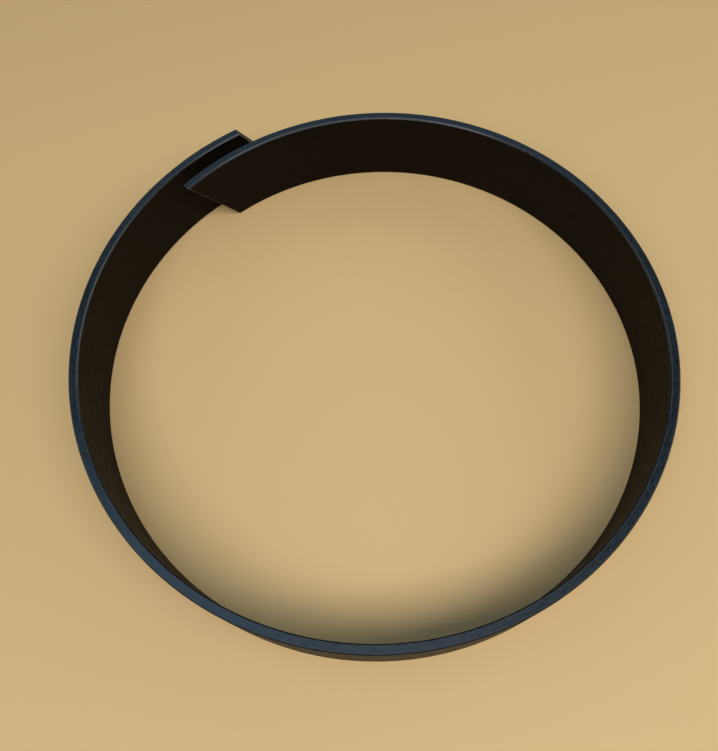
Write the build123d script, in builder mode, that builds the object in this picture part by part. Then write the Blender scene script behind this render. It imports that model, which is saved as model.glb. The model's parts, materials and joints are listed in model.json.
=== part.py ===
"""Split guide ring for a hydraulic piston: one flat plastic strip, curled a little past one turn.

The strip stands on edge. Its lower edge is at z = 0, +Z is the ring's axis, the split is at +Y and
the back of the curl is at -Y. The origin is the middle of the ring's footprint. All sizes are in
millimetres, and angles are in degrees.

The ring bends over its whole length when it is sprung open. Seven sections of the one strip carry
that bend, and meet at six flex lines, which lie across the strip at the middle of its thickness.
"""

import os
from collections import namedtuple
from math import degrees, pi, radians

from build123d import *

# The strip, which fills a groove in a piston that runs in a cylinder bore.
BORE_DIAMETER = 200.0
STRIP_THICKNESS = 3.0
STRIP_WIDTH = 30.0
FITTED_END_GAP = 2.7
INNER_CHAMFER = 0.45
OUTER_CHAMFER = 0.25
END_CUT_ANGLE = 30.0  # between the sawn ends and the ring's axis

# The free curl, at the middle of the strip's thickness.
BACK_RADIUS = 93.6
CURL_PITCH = 8.3  # how much the radius falls in one turn, from the outer end to the inner end
BACK_DIRECTION = 270.0

# The sections: how far round from the back each arm bends, and the clearance at each flex line.
FLEX_ANGLES = (30.0, 80.0, 130.0)
SEAM_GAP = 0.4

STRIP_LENGTH = pi * (BORE_DIAMETER - STRIP_THICKNESS) - FITTED_END_GAP
HALF_WRAP = degrees(STRIP_LENGTH / BACK_RADIUS) / 2
SAW_ALLOWANCE = 12.0  # extra wrap past the middle of a sawn end, which the cut takes off

Arc = namedtuple("Arc", "name center radius start stop")


def direction(angle):
    """Unit vector in the ring's plane, counter-clockwise from +X."""
    return Vector(1, 0, 0).rotate(Axis.Z, angle)


def arm_arcs(arm, side, back):
    """Arcs of one arm, from the back to its end, each running smoothly out of the one before it.

    The inner arm (side = 1) runs counter-clockwise and tightens, and the outer arm (side = -1) runs
    clockwise and widens.
    """
    arcs = []
    previous = back
    limits = FLEX_ANGLES + (HALF_WRAP,)
    for stretch, near, far in zip(("root", "middle", "tip"), limits[:-1], limits[1:]):
        radius = BACK_RADIUS - side * CURL_PITCH * (near + far) / 2 / 360
        meeting = direction(BACK_DIRECTION + side * near)
        center = previous.center + meeting * (previous.radius - radius)
        ends = sorted((BACK_DIRECTION + side * near, BACK_DIRECTION + side * far))
        previous = Arc(f"{arm}_{stretch}", center, radius, ends[0], ends[1])
        arcs.append(previous)
    return arcs


def centred(arcs):
    """The same arcs, moved so that the middle of the ring's footprint is the origin."""
    reach = {}
    for arc in arcs:
        for side in (0, 90, 180, 270, 360):
            if arc.start < side < arc.stop:
                edge = arc.center + direction(side) * (arc.radius + STRIP_THICKNESS / 2)
                reach.setdefault(side % 360, []).append(edge)
    left = min(point.X for point in reach[180])
    right = max(point.X for point in reach[0])
    front = max(point.Y for point in reach[90])
    back = min(point.Y for point in reach[270])
    middle = Vector((left + right) / 2, (front + back) / 2, 0)
    return [arc._replace(center=arc.center - middle) for arc in arcs]


def strip_arcs():
    """All the arcs, from the outer end to the inner end."""
    back = Arc(
        "back_arc",
        Vector(0, 0, 0),
        BACK_RADIUS,
        BACK_DIRECTION - FLEX_ANGLES[0],
        BACK_DIRECTION + FLEX_ANGLES[0],
    )
    outer = arm_arcs("outer_arm", -1, back)
    inner = arm_arcs("inner_arm", 1, back)
    return centred(outer[::-1] + [back] + inner)


def saw_plane(arc, angle):
    """Plane of a sawn end: it holds the radial direction and leans along the strip as it rises."""
    outward = direction(angle)
    along = direction(angle + 90)
    middle = arc.center + outward * arc.radius + Vector(0, 0, STRIP_WIDTH / 2)
    normal = along.rotate(Axis(middle, outward), 180 - END_CUT_ANGLE)
    return Plane(origin=middle, x_dir=outward, z_dir=normal)


def make_section(arc, starts_sawn, ends_sawn):
    """One stretch of the strip: its chamfered cross-section, turned about the arc's centre."""
    seam = degrees(SEAM_GAP / 2 / arc.radius)
    start = arc.start - SAW_ALLOWANCE if starts_sawn else arc.start + seam
    stop = arc.stop + SAW_ALLOWANCE if ends_sawn else arc.stop - seam
    profile_plane = Plane(origin=arc.center, x_dir=direction(start), z_dir=direction(start - 90))
    with BuildPart() as section:
        with BuildSketch(profile_plane) as profile:
            with Locations((arc.radius, STRIP_WIDTH / 2)):
                Rectangle(STRIP_THICKNESS, STRIP_WIDTH)
            chamfer(profile.vertices().sort_by(Axis.X)[:2], INNER_CHAMFER)
            chamfer(profile.vertices().sort_by(Axis.X)[-2:], OUTER_CHAMFER)
        revolve(axis=Axis(arc.center, (0, 0, 1)), revolution_arc=stop - start)
        if starts_sawn:
            split(bisect_by=saw_plane(arc, arc.start), keep=Keep.BOTTOM)
        if ends_sawn:
            split(bisect_by=saw_plane(arc, arc.stop), keep=Keep.TOP)
    section.part.label = arc.name
    return section


os.makedirs("parts", exist_ok=True)

arcs = strip_arcs()
for arc in arcs:
    section = make_section(arc, starts_sawn=arc is arcs[0], ends_sawn=arc is arcs[-1])
    export_step(section.part, f"parts/{arc.name}.step")
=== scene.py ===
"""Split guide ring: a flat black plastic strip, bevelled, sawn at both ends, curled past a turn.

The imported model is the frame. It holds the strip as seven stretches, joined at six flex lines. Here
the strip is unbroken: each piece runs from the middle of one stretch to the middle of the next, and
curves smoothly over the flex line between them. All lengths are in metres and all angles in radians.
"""

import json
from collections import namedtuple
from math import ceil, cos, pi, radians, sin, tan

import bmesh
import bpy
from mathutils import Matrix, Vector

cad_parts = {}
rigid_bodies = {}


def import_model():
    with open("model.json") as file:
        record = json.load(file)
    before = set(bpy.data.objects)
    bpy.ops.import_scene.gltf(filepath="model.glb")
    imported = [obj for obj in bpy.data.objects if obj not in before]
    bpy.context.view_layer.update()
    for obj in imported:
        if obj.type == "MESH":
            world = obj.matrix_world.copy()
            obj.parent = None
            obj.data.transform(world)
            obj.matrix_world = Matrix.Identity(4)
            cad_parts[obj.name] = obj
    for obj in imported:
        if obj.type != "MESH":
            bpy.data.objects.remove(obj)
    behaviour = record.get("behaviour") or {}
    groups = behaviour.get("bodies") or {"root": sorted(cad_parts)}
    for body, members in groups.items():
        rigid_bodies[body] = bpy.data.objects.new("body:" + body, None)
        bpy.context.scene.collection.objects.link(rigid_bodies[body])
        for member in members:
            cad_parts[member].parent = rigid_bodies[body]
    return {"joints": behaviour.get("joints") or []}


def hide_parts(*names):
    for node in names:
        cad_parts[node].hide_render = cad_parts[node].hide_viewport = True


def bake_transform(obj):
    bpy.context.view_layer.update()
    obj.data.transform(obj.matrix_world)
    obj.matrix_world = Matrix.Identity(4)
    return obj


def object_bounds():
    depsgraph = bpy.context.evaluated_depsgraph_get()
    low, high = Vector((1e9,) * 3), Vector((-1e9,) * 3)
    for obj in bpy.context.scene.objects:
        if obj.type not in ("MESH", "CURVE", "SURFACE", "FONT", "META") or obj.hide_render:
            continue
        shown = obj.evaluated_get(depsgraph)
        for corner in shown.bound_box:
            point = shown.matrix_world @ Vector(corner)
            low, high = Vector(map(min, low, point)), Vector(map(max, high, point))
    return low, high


bl_info = {
    "name": "Split Guide Ring",
    "version": (1, 0, 0),
    "blender": (4, 5, 0),
    "location": "3D View > Sidebar > Guide Ring",
    "description": "Makes a curled, split guide ring around its packed model",
    "category": "Add Mesh",
}

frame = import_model()
CAD_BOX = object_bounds()

MM = 0.001
STRIP_WIDTH = CAD_BOX[1].z - CAD_BOX[0].z
BORE_DIAMETER = 200 * MM
STRIP_THICKNESS = 3 * MM
FITTED_END_GAP = 2.7 * MM

# Flex lines, as angles from the back of the curl along each arm, and the stretches between them.
FLEX_ANGLES = (radians(30), radians(80), radians(130))
BACK_DIRECTION = radians(270)
STRETCHES = (
    "outer_arm_tip",
    "outer_arm_middle",
    "outer_arm_root",
    "back_arc",
    "inner_arm_root",
    "inner_arm_middle",
    "inner_arm_tip",
)

# The pieces made here, in the order of the flex lines that they curve over.
PIECES = (
    "strip_outer_end",
    "strip_outer_side",
    "strip_outer_back",
    "strip_inner_back",
    "strip_inner_side",
    "strip_inner_end",
)

# How far the curl may pass from the frame's flex lines.
FLEX_TOLERANCE = 0.05 * MM

# Which finish each face of the strip has, in the order of the mesh's material slots.
INNER_WALL, OUTER_WALL, EDGE, BEVEL, ARRIS, SAWN, BURR_AND_HIGHLIGHT = range(7)

# Faces of the straight strip are told apart by their normals, whose x runs along the strip. A
# square end's is 1 in x, and a sawn end's is the cosine of the saw angle, some 0.87. The rounded
# burr lies between a sawn end and the long faces.
SQUARE_END = 0.99
SAWN_END = 0.6
END_FACE = 0.85
LEVEL_FACE = 0.999
SLIGHT = 0.01

# A corner of the strip is an edge whose faces turn by more than this, and is rounded off.
CORNER_ANGLE = radians(25)
# Shading breaks where faces turn by more than this.
SHARP_ANGLE = radians(8)
# Past this share of the thickness from the strip's middle, a corner is on the inner or outer wall.
ON_WALL = 0.49
# Corners of the mesh that are nearer to a cut than this are taken as on it.
CUT_TOLERANCE = 0.001 * MM

# Value ranges of the noise patterns that are spread over a finish's tones, and each one's share.
LINE_RANGE = (0.36, 0.64)
LINE_SHARE = 0.4
BLOTCH_RANGE = (0.34, 0.66)
BLOTCH_SHARE = 0.6
# The wider range of the blotches that is spread over a finish's roughness.
SHEEN_RANGE = (0.3, 0.7)

# The dust pattern's cells, of which one in six or seven holds a speck.
DUST_CELL = 8 * MM
DUST_RADII = (0.12 * MM, 0.24 * MM)
DUST_CHANCE = (0.84, 0.85)
DUST_SHARE = 0.4

# A Mix node's colour sockets have the same names as its other ones, so they go by number.
FIRST_COLOUR, SECOND_COLOUR, MIXED_COLOUR = 6, 7, 2

# begin and end are lengths along the strip, from its middle.
Arc = namedtuple("Arc", "center radius angle begin end")

# turn is the light's azimuth from the camera's, and brightness its radiance.
SoftBox = namedtuple("SoftBox", "name turn elevation distance size brightness colour")

SOFT_BOXES = (
    SoftBox("key_box", radians(7), radians(64), 0.9, (1.2, 0.42), 4.5, "#F2F7FF"),
    SoftBox("top_left", -radians(110), radians(72), 1.1, (0.26, 0.4), 3.1, "#93C4E8"),
    SoftBox("top_right", radians(145), radians(84), 1.1, (0.18, 0.4), 2.2, "#93C4E8"),
    SoftBox("back_box", pi, radians(46), 1.1, (1.0, 0.3), 0.9, "#A9CDEB"),
    SoftBox("left_box", -radians(100), radians(28), 1.2, (1.2, 0.4), 0.9, "#E3F0F2"),
    SoftBox("right_box", radians(100), radians(28), 1.2, (1.2, 0.4), 2.1, "#E3F0F2"),
)


# -------------------------------------------------------------------------------------------------
# Sizes and colours that a user would change
# -------------------------------------------------------------------------------------------------


class StripSizes(bpy.types.PropertyGroup):
    """Sizes of the strip and of its free curl."""

    thickness: bpy.props.FloatProperty(
        name="Thickness",
        description="Thickness of the strip, across the wall of the ring",
        default=STRIP_THICKNESS,
        unit="LENGTH",
        precision=4,
    )
    width: bpy.props.FloatProperty(
        name="Width",
        description="Width of the strip, which is the height of the ring",
        default=STRIP_WIDTH,
        unit="LENGTH",
        precision=4,
    )
    length: bpy.props.FloatProperty(
        name="Length",
        description="Length of the strip, at the middle of its thickness and width",
        default=pi * (BORE_DIAMETER - STRIP_THICKNESS) - FITTED_END_GAP,
        unit="LENGTH",
        precision=4,
    )
    inner_bevel: bpy.props.FloatProperty(
        name="Inner Bevel",
        description="Bevel along the two long edges of the inner face",
        default=0.45 * MM,
        unit="LENGTH",
        precision=5,
    )
    outer_bevel: bpy.props.FloatProperty(
        name="Outer Bevel",
        description="Bevel along the two long edges of the outer face",
        default=0.36 * MM,
        unit="LENGTH",
        precision=5,
    )
    arris: bpy.props.FloatProperty(
        name="Arris",
        description="Rounding that deburring left on the corners of the bevels",
        default=0.05 * MM,
        unit="LENGTH",
        precision=5,
    )
    worn_arris: bpy.props.FloatProperty(
        name="Worn Arris",
        description="Rounding that handling wore between the inner bevels and the edges",
        default=0.11 * MM,
        unit="LENGTH",
        precision=5,
    )
    burr_and_highlight: bpy.props.FloatProperty(
        name="Burr and Highlight",
        description="Width of the burr round the sawn ends",
        default=0.1 * MM,
        unit="LENGTH",
        precision=5,
    )
    saw_angle: bpy.props.FloatProperty(
        name="Saw Angle",
        description="Angle between the sawn ends and the axis of the ring",
        default=radians(30),
        subtype="ANGLE",
    )
    curl_pitch: bpy.props.FloatProperty(
        name="Curl Pitch",
        description="How much the radius falls in one turn of the curl",
        default=8.3 * MM,
        unit="LENGTH",
        precision=4,
    )
    slice_length: bpy.props.FloatProperty(
        name="Slice Length",
        description="Length of one facet along the curl",
        default=1.6 * MM,
        unit="LENGTH",
        precision=4,
    )
    bend_reach: bpy.props.FloatProperty(
        name="Bend Reach",
        description="How far each side of a flex line the strip bends when it is sprung",
        default=40 * MM,
        unit="LENGTH",
        precision=4,
    )


class StripFinish(bpy.types.PropertyGroup):
    """Colours of the strip, as sRGB hex values."""

    # The wall tones' warm brown tint is painted bounce light from the floor; the plastic itself is
    # near-black.
    wall_dark: bpy.props.StringProperty(
        name="Wall, Dark", description="Darker tone of the rolled walls", default="#0B0602"
    )
    wall_light: bpy.props.StringProperty(
        name="Wall, Light", description="Paler tone of the rolled walls", default="#180F05"
    )
    # The edge tones' blue-grey cast is painted reflection of the cool light overhead.
    edge_dark: bpy.props.StringProperty(
        name="Edges, Dark", description="Darker tone of the trimmed edges", default="#070C10"
    )
    edge_light: bpy.props.StringProperty(
        name="Edges, Light", description="Paler tone of the trimmed edges", default="#1F2A32"
    )
    bevel: bpy.props.StringProperty(
        name="Bevels", description="Tone of the scraped bevels", default="#07090A"
    )
    # A pale tone painted on the arrises, in patches, as their highlight.
    arris_highlight: bpy.props.StringProperty(
        name="Arris Highlight", description="Tone of corners that handling has rubbed", default="#42474B"
    )
    sawn: bpy.props.StringProperty(
        name="Sawn Ends", description="Tone of the sawn end faces", default="#24221F"
    )
    # The burr's pale tone is partly a real saw burr and partly a painted highlight along the cut
    # edge.
    burr_and_highlight: bpy.props.StringProperty(
        name="Burr and Highlight", description="Tone of the fine burr that the saw left", default="#8C8A84"
    )
    dust: bpy.props.StringProperty(
        name="Dust", description="Tone of dust caught on the walls", default="#5A564E"
    )


class StageSettings(bpy.types.PropertyGroup):
    """Floor, light and camera."""

    floor: bpy.props.StringProperty(
        name="Floor", description="Colour of the plain floor", default="#E9BF80"
    )
    sky: bpy.props.StringProperty(
        name="Surroundings", description="Colour of the light all round", default="#EAE3DA"
    )
    sky_strength: bpy.props.FloatProperty(
        name="Surroundings Strength", description="Brightness of the light all round", default=0.09
    )
    azimuth: bpy.props.FloatProperty(
        name="Camera Azimuth",
        description="Direction of the camera round the ring, from -Y towards +X",
        default=radians(328.57),
        subtype="ANGLE",
    )
    elevation: bpy.props.FloatProperty(
        name="Camera Elevation",
        description="Angle of the camera above the floor",
        default=radians(65.64),
        subtype="ANGLE",
    )
    roll: bpy.props.FloatProperty(
        name="Camera Roll",
        description="Turn of the camera about its own line of sight",
        default=radians(-4.12),
        subtype="ANGLE",
    )
    aim: bpy.props.FloatVectorProperty(
        name="Camera Aim",
        description="Point of the floor that the camera looks at",
        default=(-0.00402, 0.00051, 0),
        subtype="TRANSLATION",
        unit="LENGTH",
    )
    distance: bpy.props.FloatProperty(
        name="Camera Distance",
        description="Distance from the camera to the point it looks at",
        default=0.25682,
        unit="LENGTH",
    )
    lens: bpy.props.FloatProperty(
        name="Lens", description="Focal length in millimetres", default=34.71
    )


# -------------------------------------------------------------------------------------------------
# The curl
# -------------------------------------------------------------------------------------------------


def direction(angle):
    """Unit vector in the ring's plane, counter-clockwise from +X."""
    return Vector((cos(angle), sin(angle), 0))


def flex_point(name):
    """Where a flex line is, from the frame."""
    return Vector(next(joint["pos_m"] for joint in frame["joints"] if joint["name"] == name))


def flex_joint(index):
    """Name of the joint between stretch index and the one after it."""
    pair = {STRETCHES[index], STRETCHES[index + 1]}
    return next(j["name"] for j in frame["joints"] if {j["parent"], j["child"]} == pair)


def arm_arcs(sizes, side, center, radius):
    """Arcs of one arm, from the back to its end. side is 1 for the inner arm, -1 for the outer."""
    half_length = sizes.length / 2
    back_radius = radius
    limits = FLEX_ANGLES + (half_length / back_radius,)
    arcs = []
    for near, far in zip(limits[:-1], limits[1:]):
        meeting = BACK_DIRECTION + side * near
        next_radius = back_radius - side * sizes.curl_pitch * (near + far) / 2 / (2 * pi)
        center = center + direction(meeting) * (radius - next_radius)
        radius = next_radius
        span = radius * (far - near)
        first = BACK_DIRECTION + side * (near if side > 0 else far)
        arcs.append((center, radius, first, span))
    return arcs


def curl_arcs(sizes):
    """The seven arcs of the curl, from the outer end to the inner end."""
    outer = flex_point("outer_flex_root")
    inner = flex_point("inner_flex_root")
    radius = (inner - outer).length / 2 / sin(FLEX_ANGLES[0])
    center = (outer + inner) / 2 - direction(BACK_DIRECTION) * radius * cos(FLEX_ANGLES[0])
    center.z = 0
    back_span = 2 * radius * FLEX_ANGLES[0]
    back = (center, radius, BACK_DIRECTION - FLEX_ANGLES[0], back_span)
    outer_arm = arm_arcs(sizes, -1, center, radius)
    chain = outer_arm[::-1] + [back] + arm_arcs(sizes, 1, center, radius)
    arcs = []
    begin = -back_span / 2 - sum(span for *_, span in outer_arm)
    for arc_center, arc_radius, angle, span in chain:
        arcs.append(Arc(arc_center, arc_radius, angle, begin, begin + span))
        begin += span
    for index in range(len(STRETCHES) - 1):
        drift = curled(Vector((arcs[index].end, 0, sizes.width / 2)), arcs)
        drift -= flex_point(flex_joint(index))
        if drift.length > FLEX_TOLERANCE:
            raise RuntimeError(f"the curl misses the flex line after {STRETCHES[index]}")
    return arcs


def curled(point, arcs):
    """Where a point of the straight strip lies once the strip is curled.

    x is the length along the strip, y the distance outwards from its middle and z the height.
    """
    arc = next((arc for arc in arcs if point.x <= arc.end), arcs[-1])
    angle = arc.angle + (point.x - arc.begin) / arc.radius
    place = arc.center + direction(angle) * (arc.radius + point.y)
    place.z = point.z
    return place


# -------------------------------------------------------------------------------------------------
# The strip
# -------------------------------------------------------------------------------------------------


def cut_bar(bm, sizes, start, stop, sawn_start, sawn_stop):
    """A straight bar from start to stop, whose sawn end or ends lean along it as they rise."""
    bmesh.ops.create_cube(bm, size=1)
    middle = (start + stop) / 2
    scale = Matrix.Diagonal((stop - start, sizes.thickness, sizes.width, 1))
    place = Matrix.Translation((middle, 0, sizes.width / 2))
    bmesh.ops.transform(bm, matrix=place @ scale, verts=bm.verts)
    for vert in bm.verts:
        if sawn_start if vert.co.x < middle else sawn_stop:
            vert.co.x += (vert.co.z - sizes.width / 2) * tan(sizes.saw_angle)


def bevel_bar(bm, sizes, start, stop):
    """Bevels the long edges, then rounds off every corner but those where pieces meet."""
    on_wall = sizes.thickness * ON_WALL
    for side, width in ((-1, sizes.inner_bevel), (1, sizes.outer_bevel)):
        walled = [
            edge
            for edge in long_edges(bm, start, stop)
            if all(side * vert.co.y > on_wall for vert in edge.verts)
        ]
        round_off(bm, walled, width, segments=1)
    worn = [
        edge
        for edge in long_edges(bm, start, stop)
        if all(-on_wall < vert.co.y < 0 for vert in edge.verts)
    ]
    round_off(bm, worn, sizes.worn_arris, segments=3)
    bm.normal_update()
    square_ends = {face for face in bm.faces if abs(face.normal.x) > SQUARE_END}
    ends = square_ends | sawn_ends(bm)
    corners = [
        edge
        for edge in bm.edges
        if not ends.intersection(edge.link_faces) and edge.calc_face_angle() > CORNER_ANGLE
    ]
    round_off(bm, corners, sizes.arris, segments=2)
    bm.normal_update()
    ends = sawn_ends(bm)
    burred = [edge for edge in bm.edges if ends.intersection(edge.link_faces)]
    round_off(bm, burred, sizes.burr_and_highlight, segments=2)


def long_edges(bm, start, stop):
    """Edges that run the length of the bar."""
    least = (stop - start) / 2
    return [edge for edge in bm.edges if abs(edge.verts[0].co.x - edge.verts[1].co.x) > least]


def sawn_ends(bm):
    """Faces that the saw left, before they are rounded off."""
    return {face for face in bm.faces if SAWN_END < abs(face.normal.x) < SQUARE_END}


def round_off(bm, edges, width, segments):
    """Takes the sharpness off the given edges."""
    bmesh.ops.bevel(
        bm,
        geom=edges,
        offset=width,
        offset_type="OFFSET",
        segments=segments,
        profile=0.5,
        affect="EDGES",
        material=-1,
    )


def slice_bar(bm, sizes):
    """Cuts the bar across into short facets, so that it can curl."""
    low = min(vert.co.x for vert in bm.verts)
    high = max(vert.co.x for vert in bm.verts)
    count = ceil((high - low) / sizes.slice_length)
    for index in range(1, count):
        cut = low + (high - low) * index / count
        bmesh.ops.bisect_plane(
            bm,
            geom=bm.verts[:] + bm.edges[:] + bm.faces[:],
            dist=CUT_TOLERANCE,
            plane_co=(cut, 0, 0),
            plane_no=(1, 0, 0),
        )


def finish_of(face):
    """Which finish a face of the straight bar has. A bevel faces both ways alike."""
    normal = face.normal
    if abs(normal.x) > END_FACE:
        return SAWN
    if abs(normal.y) > LEVEL_FACE:
        return INNER_WALL if normal.y < 0 else OUTER_WALL
    if abs(normal.z) > LEVEL_FACE:
        return EDGE
    if abs(normal.x) > SLIGHT:
        return BURR_AND_HIGHLIGHT
    return BEVEL if abs(abs(normal.y) - abs(normal.z)) < SLIGHT else ARRIS


def lay_out_strip(bm, sizes):
    """Gives each face its finish and its place on the flat strip, in metres, for the patterns.

    The outer wall, the upper edge and the inner wall follow on from each other. A sawn end is laid
    out on its own, across and up the strip.
    """
    bm.normal_update()
    layer = bm.loops.layers.uv.new("strip")
    for face in bm.faces:
        face.smooth = True
        face.material_index = finish_of(face)
        inner = face.normal.y < -SLIGHT
        for loop in face.loops:
            x, y, z = loop.vert.co
            if face.material_index == SAWN:
                loop[layer].uv = (y, z)
            elif inner:
                loop[layer].uv = (x, 2 * sizes.width + sizes.thickness / 2 - z - y)
            else:
                loop[layer].uv = (x, z + sizes.thickness / 2 - y)


def strip_piece(index, sizes, arcs, materials):
    """One piece of the strip, from the middle of a stretch to the middle of the next."""
    name = PIECES[index]
    first = index == 0
    last = index == len(PIECES) - 1
    start = arcs[0].begin if first else (arcs[index].begin + arcs[index].end) / 2
    stop = arcs[-1].end if last else (arcs[index + 1].begin + arcs[index + 1].end) / 2
    bm = bmesh.new()
    cut_bar(bm, sizes, start, stop, first, last)
    bevel_bar(bm, sizes, start, stop)
    slice_bar(bm, sizes)
    lay_out_strip(bm, sizes)
    for vert in bm.verts:
        vert.co = curled(vert.co, arcs)
    bmesh.ops.recalc_face_normals(bm, faces=bm.faces)
    mesh = bpy.data.meshes.new(name)
    bm.to_mesh(mesh)
    bm.free()
    mesh.set_sharp_from_angle(angle=SHARP_ANGLE)
    for material in materials:
        mesh.materials.append(material)
    piece = bpy.data.objects.new(name, mesh)
    bpy.context.collection.objects.link(piece)

    flex = arcs[index].end
    height = sizes.width / 2
    bend_start = curled(Vector((flex - sizes.bend_reach, 0, height)), arcs)
    bend_end = curled(Vector((flex + sizes.bend_reach, 0, height)), arcs)
    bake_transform(piece)
    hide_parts(STRETCHES[index], STRETCHES[index + 1])


# -------------------------------------------------------------------------------------------------
# Materials
# -------------------------------------------------------------------------------------------------


def linear(hex_colour):
    """Linear RGBA from an sRGB hex value."""
    channels = [int(hex_colour.lstrip("#")[i : i + 2], 16) / 255 for i in (0, 2, 4)]
    toned = [c / 12.92 if c <= 0.04045 else ((c + 0.055) / 1.055) ** 2.4 for c in channels]
    return (*toned, 1.0)


def add_node(tree, kind, settings=None, inputs=None):
    """Adds a node, sets its properties, and sets or links its inputs."""
    node = tree.nodes.new(kind)
    for name, value in (settings or {}).items():
        setattr(node, name, value)
    for name, value in (inputs or {}).items():
        if isinstance(value, bpy.types.NodeSocket):
            tree.links.new(value, node.inputs[name])
        else:
            node.inputs[name].default_value = value
    return node


def new_material(name):
    """An empty node material and its output node."""
    material = bpy.data.materials.new(name)
    material.use_nodes = True
    tree = material.node_tree
    tree.nodes.clear()
    return material, tree, tree.nodes.new("ShaderNodeOutputMaterial")


def strip_pattern(tree, along, across):
    """Coordinates on the flat strip, scaled so that one unit is along by across metres."""
    place = add_node(tree, "ShaderNodeUVMap", {"uv_map": "strip"})
    return add_node(
        tree,
        "ShaderNodeMapping",
        {"vector_type": "POINT"},
        {"Vector": place.outputs["UV"], "Scale": (1 / along, 1 / across, 1)},
    ).outputs["Vector"]


def noise(tree, vector, detail, roughness):
    """Factor of a noise pattern on the given coordinates."""
    node = add_node(
        tree,
        "ShaderNodeTexNoise",
        {"noise_dimensions": "2D"},
        {"Vector": vector, "Scale": 1.0, "Detail": detail, "Roughness": roughness},
    )
    return node.outputs["Fac"]


def in_range(tree, value, low, high, to_low=0.0, to_high=1.0):
    """value, moved from the range low to high into the range to_low to to_high, and held there."""
    node = add_node(
        tree,
        "ShaderNodeMapRange",
        {"clamp": True},
        {"Value": value, "From Min": low, "From Max": high, "To Min": to_low, "To Max": to_high},
    )
    return node.outputs["Result"]


def blend_colours(tree, share, first, second):
    """A mix of two colours, each a socket or a linear RGBA."""
    node = add_node(
        tree,
        "ShaderNodeMix",
        {"data_type": "RGBA"},
        {"Factor": share, FIRST_COLOUR: first, SECOND_COLOUR: second},
    )
    return node.outputs[MIXED_COLOUR]


def raised(tree, height, depth):
    """Surface normal over a relief of the given depth in metres."""
    node = add_node(
        tree,
        "ShaderNodeBump",
        None,
        {"Height": height, "Distance": depth, "Strength": 1.0},
    )
    return node.outputs["Normal"]


def black_plastic(name, tones, lines, mottle, roughness, ior, relief, dust=None):
    """Black filled plastic, in one of its finishes, made once for all the pieces.

    tones are its darker and paler colours. lines and mottle are each a length along the strip and
    one across it, for the tool's fine lines and the filler's soft blotches. roughness is its lowest
    and highest, and relief is how deep the lines are.
    """
    if name in bpy.data.materials:
        return bpy.data.materials[name]
    material, tree, output = new_material(name)
    streaks = noise(tree, strip_pattern(tree, *lines), detail=3.0, roughness=0.6)
    blotches = noise(tree, strip_pattern(tree, *mottle), detail=2.0, roughness=0.5)
    line_tone = in_range(tree, streaks, *LINE_RANGE)
    blotch_tone = in_range(tree, blotches, *BLOTCH_RANGE, 0, BLOTCH_SHARE)
    share = add_node(
        tree,
        "ShaderNodeMath",
        {"operation": "MULTIPLY_ADD"},
        {0: line_tone, 1: LINE_SHARE, 2: blotch_tone},
    )
    colour = blend_colours(tree, share.outputs[0], linear(tones[0]), linear(tones[1]))
    if dust:
        colour = blend_colours(tree, dust_specks(tree), colour, linear(dust))
    shader = add_node(
        tree,
        "ShaderNodeBsdfPrincipled",
        None,
        {
            "Base Color": colour,
            "Roughness": in_range(tree, blotches, *SHEEN_RANGE, *roughness),
            "IOR": ior,
            "Normal": raised(tree, streaks, relief),
        },
    )
    tree.links.new(shader.outputs["BSDF"], output.inputs["Surface"])
    return material


def dust_specks(tree):
    """Share of dust: faint specks about a third of a millimetre across, some 20 mm apart."""
    cells = add_node(
        tree,
        "ShaderNodeTexVoronoi",
        {"voronoi_dimensions": "2D", "feature": "F1"},
        {"Vector": strip_pattern(tree, DUST_CELL, DUST_CELL), "Scale": 1.0},
    )
    chance = add_node(
        tree,
        "ShaderNodeSeparateColor",
        None,
        {"Color": cells.outputs["Color"]},
    )
    near, far = (radius / DUST_CELL for radius in DUST_RADII)
    nearness = in_range(tree, cells.outputs["Distance"], near, far, 1, 0)
    dusty = in_range(tree, chance.outputs["Red"], *DUST_CHANCE, 0, DUST_SHARE)
    speck = add_node(
        tree,
        "ShaderNodeMath",
        {"operation": "MULTIPLY"},
        {0: nearness, 1: dusty},
    )
    return speck.outputs[0]


def inner_wall(finish):
    """The inner face as rolled: open-pored and dead matt, so it keeps little of the floor's light.

    It is a near-black, and its warm brown tint is painted bounce light from the floor. The roll lines
    are really about 0.2 mm apart, and are drawn 0.7 mm apart so that they show.
    """
    return black_plastic(
        "matt_rolled_black_plastic",
        (finish.wall_dark, finish.wall_light),
        lines=(40 * MM, 0.7 * MM),
        mottle=(4 * MM, 2.2 * MM),
        roughness=(0.6, 0.72),
        ior=1.2,
        relief=0.04 * MM,
        dust=finish.dust,
    )


def outer_wall(finish):
    """The outer face, which the rolls left with a slight sheen. Its lines are drawn as coarse."""
    # Its warm brown tint, from the shared wall tones, is painted bounce light from the floor.
    return black_plastic(
        "satin_rolled_black_plastic",
        (finish.wall_dark, finish.wall_light),
        lines=(40 * MM, 0.7 * MM),
        mottle=(4 * MM, 2.2 * MM),
        roughness=(0.54, 0.64),
        ior=1.32,
        relief=0.02 * MM,
        dust=finish.dust,
    )


def trimmed_edge(finish):
    """The edges, trimmed by a blade: smoother than the walls, so they shine softly. Their cool
    blue-grey tone is painted reflection of the cool light overhead.

    The blade's lines run along the strip. They are really about 0.1 mm apart, and are drawn 0.5 mm
    apart so that they show.
    """
    return black_plastic(
        "trimmed_black_plastic",
        (finish.edge_dark, finish.edge_light),
        lines=(12 * MM, 0.5 * MM),
        mottle=(2.5 * MM, 0.5 * MM),
        roughness=(0.27, 0.33),
        ior=1.5,
        relief=0.012 * MM,
    )


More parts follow.
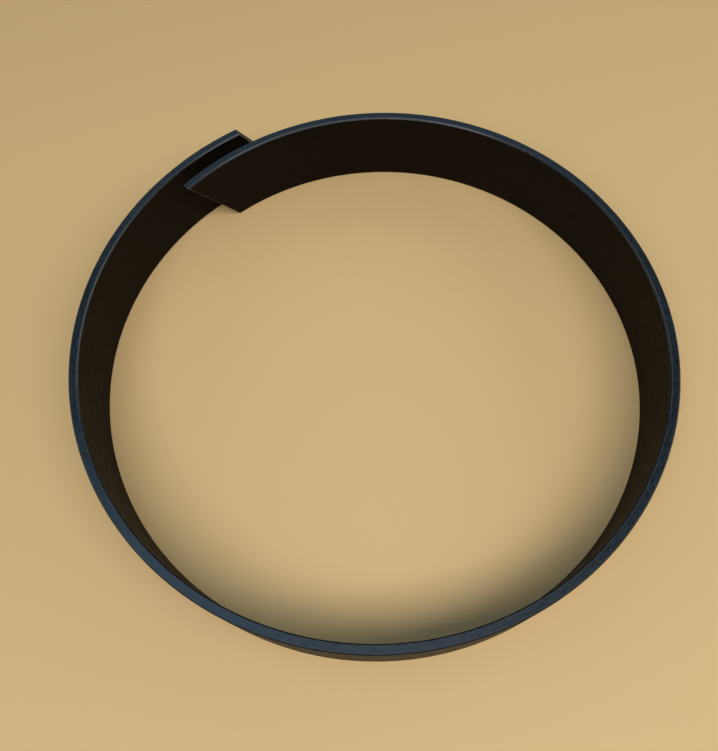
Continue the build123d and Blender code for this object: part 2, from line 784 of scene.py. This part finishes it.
def scraped_bevel(finish):
    """The bevels, scraped clean: dark, cool and the smoothest of the strip's faces."""
    return black_plastic(
        "scraped_black_plastic",
        (finish.bevel, finish.edge_dark),
        lines=(10 * MM, 0.5 * MM),
        mottle=(2 * MM, 1 * MM),
        roughness=(0.2, 0.3),
        ior=1.5,
        relief=0.008 * MM,
    )


def highlit_arris(finish):
    """The narrow corners between bevel and face: a pale tone in patches, painted on as their
    highlight.
    """
    return black_plastic(
        "highlit_arris_black_plastic",
        (finish.edge_light, finish.arris_highlight),
        lines=(4 * MM, 2 * MM),
        mottle=(9 * MM, 3 * MM),
        roughness=(0.5, 0.65),
        ior=1.5,
        relief=0.01 * MM,
    )


def sawn_end(finish):
    """The end faces: paler and rougher where a fine saw cut them, with marks across the wall."""
    return black_plastic(
        "sawn_black_plastic",
        (finish.edge_dark, finish.sawn),
        lines=(8 * MM, 0.5 * MM),
        mottle=(1 * MM, 1 * MM),
        roughness=(0.5, 0.65),
        ior=1.5,
        relief=0.05 * MM,
    )


def saw_burr_and_highlight(finish):
    """The corners of the sawn ends, where the saw turned up a fine burr.
    Their whitish tone is partly that burr and partly a painted highlight along the cut edge.
    """
    return black_plastic(
        "burr_and_highlight_black_plastic",
        (finish.sawn, finish.burr_and_highlight),
        lines=(0.6 * MM, 2.5 * MM),
        mottle=(1.5 * MM, 4 * MM),
        roughness=(0.4, 0.6),
        ior=1.5,
        relief=0.03 * MM,
    )


def strip_materials(finish):
    """The strip's finishes, in the order of the mesh's material slots."""
    makers = (inner_wall, outer_wall, trimmed_edge, scraped_bevel, highlit_arris, sawn_end, saw_burr_and_highlight)
    return [make(finish) for make in makers]


def matt_floor(colour):
    """Plain matt board."""
    material, tree, output = new_material("plain_matt_board")
    shader = add_node(
        tree,
        "ShaderNodeBsdfPrincipled",
        None,
        {"Base Color": linear(colour), "Roughness": 0.6, "IOR": 1.45},
    )
    tree.links.new(shader.outputs["BSDF"], output.inputs["Surface"])
    return material


# -------------------------------------------------------------------------------------------------
# Operators
# -------------------------------------------------------------------------------------------------


class GUIDERING_OT_ends(bpy.types.Operator):
    """Make the two sawn ends of the strip, which overlap without touching"""

    bl_idname = "guide_ring.ends"
    bl_label = "Make Sawn Ends"

    def execute(self, context):
        sizes = context.scene.guide_ring_sizes
        arcs = curl_arcs(sizes)
        materials = strip_materials(context.scene.guide_ring_finish)
        for index in (0, len(PIECES) - 1):
            strip_piece(index, sizes, arcs, materials)
        return {"FINISHED"}


class GUIDERING_OT_turn(bpy.types.Operator):
    """Make the unbroken turn of the strip between its two ends"""

    bl_idname = "guide_ring.turn"
    bl_label = "Make Turn"

    def execute(self, context):
        sizes = context.scene.guide_ring_sizes
        arcs = curl_arcs(sizes)
        materials = strip_materials(context.scene.guide_ring_finish)
        for index in range(1, len(PIECES) - 1):
            strip_piece(index, sizes, arcs, materials)
        return {"FINISHED"}


def away(azimuth, elevation):
    """Unit vector from the ring. Azimuth is from -Y towards +X, and elevation from the floor."""
    return Vector((sin(azimuth) * cos(elevation), -cos(azimuth) * cos(elevation), sin(elevation)))


def soft_box(box, facing):
    """A soft rectangular light that faces the ring. facing is the camera's azimuth."""
    light = bpy.data.lights.new(box.name, "AREA")
    light.shape = "RECTANGLE"
    light.size, light.size_y = box.size
    light.energy = box.brightness * pi * box.size[0] * box.size[1]
    light.color = linear(box.colour)[:3]
    lamp = bpy.data.objects.new(box.name, light)
    outward = away(facing + box.turn, box.elevation)
    lamp.location = outward * box.distance
    lamp.rotation_mode = "QUATERNION"
    lamp.rotation_quaternion = outward.to_track_quat("Z", "Y")
    lamp.visible_camera = False
    bpy.context.collection.objects.link(lamp)


class GUIDERING_OT_stage(bpy.types.Operator):
    """Make the floor, the lights and the camera"""

    bl_idname = "guide_ring.stage"
    bl_label = "Make Stage"

    def execute(self, context):
        stage = context.scene.guide_ring_stage
        self.make_floor(stage)
        self.make_lights(context, stage)
        self.make_camera(context, stage)
        return {"FINISHED"}

    def make_floor(self, stage):
        bm = bmesh.new()
        bmesh.ops.create_circle(bm, cap_ends=True, segments=96, radius=4)
        mesh = bpy.data.meshes.new("floor")
        bm.to_mesh(mesh)
        bm.free()
        mesh.materials.append(matt_floor(stage.floor))
        floor = bpy.data.objects.new("floor", mesh)
        bpy.context.collection.objects.link(floor)

    def make_lights(self, context, stage):
        world = bpy.data.worlds.new("surroundings")
        world.use_nodes = True
        background = world.node_tree.nodes["Background"]
        background.inputs["Color"].default_value = linear(stage.sky)
        background.inputs["Strength"].default_value = stage.sky_strength
        context.scene.world = world
        for box in SOFT_BOXES:
            soft_box(box, stage.azimuth)

    def make_camera(self, context, stage):
        data = bpy.data.cameras.new("camera")
        data.lens = stage.lens
        data.sensor_width = 36
        data.clip_start = 0.01
        camera = bpy.data.objects.new("camera", data)
        back = away(stage.azimuth, stage.elevation)
        camera.location = Vector(stage.aim) + back * stage.distance
        camera.rotation_mode = "QUATERNION"
        upright = (-back).to_track_quat("-Z", "Y")
        camera.rotation_quaternion = upright @ Matrix.Rotation(stage.roll, 3, "Z").to_quaternion()
        context.collection.objects.link(camera)
        context.scene.camera = camera
        context.scene.view_settings.view_transform = "Standard"


class GUIDERING_PT_panel(bpy.types.Panel):
    """Lists the sizes, the colours and the operators"""

    bl_idname = "GUIDERING_PT_panel"
    bl_label = "Guide Ring"
    bl_space_type = "VIEW_3D"
    bl_region_type = "UI"
    bl_category = "Guide Ring"

    def draw(self, context):
        for group in ("guide_ring_sizes", "guide_ring_finish", "guide_ring_stage"):
            settings = getattr(context.scene, group)
            column = self.layout.column()
            for name in settings.__annotations__:
                column.prop(settings, name)
        for operator in OPERATORS:
            self.layout.operator(operator.bl_idname)


GROUPS = {
    "guide_ring_sizes": StripSizes,
    "guide_ring_finish": StripFinish,
    "guide_ring_stage": StageSettings,
}
OPERATORS = (GUIDERING_OT_ends, GUIDERING_OT_turn, GUIDERING_OT_stage)


def register():
    for name, group in GROUPS.items():
        bpy.utils.register_class(group)
        setattr(bpy.types.Scene, name, bpy.props.PointerProperty(type=group))
    for cls in (*OPERATORS, GUIDERING_PT_panel):
        bpy.utils.register_class(cls)


def unregister():
    for cls in reversed((*OPERATORS, GUIDERING_PT_panel)):
        bpy.utils.unregister_class(cls)
    for name, group in reversed(GROUPS.items()):
        delattr(bpy.types.Scene, name)
        bpy.utils.unregister_class(group)


def main():
    """Makes the ring and its stage."""
    register()
    bpy.ops.guide_ring.ends()
    bpy.ops.guide_ring.turn()
    bpy.ops.guide_ring.stage()


if __name__ == "__main__":
    main()
